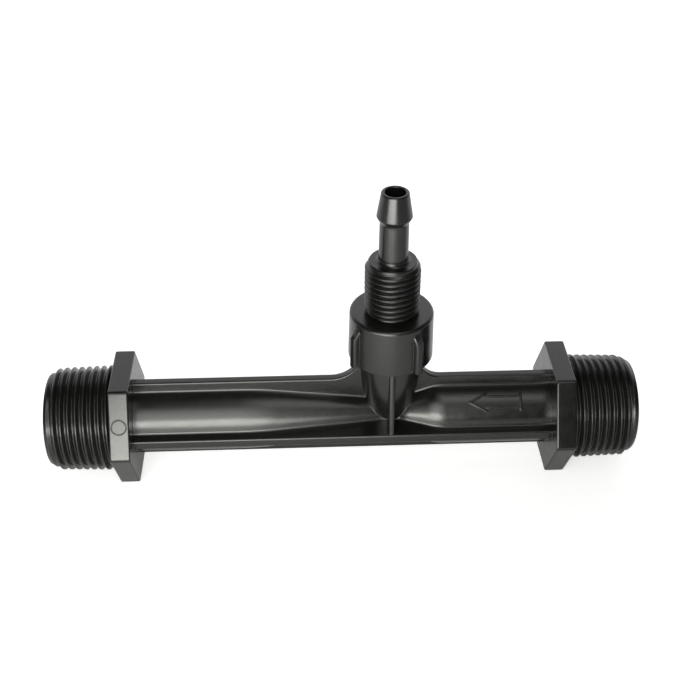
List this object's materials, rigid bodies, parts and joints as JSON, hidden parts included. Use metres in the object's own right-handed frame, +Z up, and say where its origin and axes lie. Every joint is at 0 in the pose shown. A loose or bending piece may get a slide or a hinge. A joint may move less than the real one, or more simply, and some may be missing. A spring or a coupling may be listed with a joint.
{
  "type": "venturi fertilizer injector",
  "caption": "Inline venturi injector: hex-collared threaded ends, a webbed tube that narrows to a throat, and a screw-on suction cap with hose barb and sprung check ball.",
  "frame": {"origin": "under the middle of the length, in the plane of the two lower collar flats", "axes": "+X along the tube towards the inlet end, +Z up along the suction port, +Y to the back"},
  "size_m": [0.1436, 0.0332, 0.0762],
  "materials": {
    "body_plastic": "semi-gloss moulded black",
    "cap_plastic": "semi-gloss moulded black",
    "seal_rubber": "matt",
    "ball_plastic": "polished white",
    "spring_steel": "drawn wire"
  },
  "bodies": {
    "injector": {"injector_body": "body_plastic", "check_spring": "spring_steel"},
    "seal": {"seal_ring": "seal_rubber"},
    "cap": {"suction_cap": "cap_plastic"},
    "ball": {"check_ball": "ball_plastic"}
  },
  "joints": [
    {"name": "valve_open", "type": "slide", "parent": "injector", "child": "ball", "axis": [0, 0, -1], "range_m": [0, 0.002], "stiffness_N_per_m": 60, "springref_m": -0.002, "deforming": ["check_spring"]},
    {"name": "cap_lift", "type": "slide", "parent": "injector", "child": "seal", "axis": [0, 0, 1], "range_m": [0, 0.0061]},
    {"name": "cap_turn", "type": "hinge", "parent": "seal", "child": "cap", "pos_m": [0.01155, 0, 0.0382], "axis": [0, 0, 1], "range_deg": [0, 1440]}
  ],
  "couplings": [
    {"joint": "cap_lift", "follows": "cap_turn", "m_per_rad": 0.00023873}
  ]
}
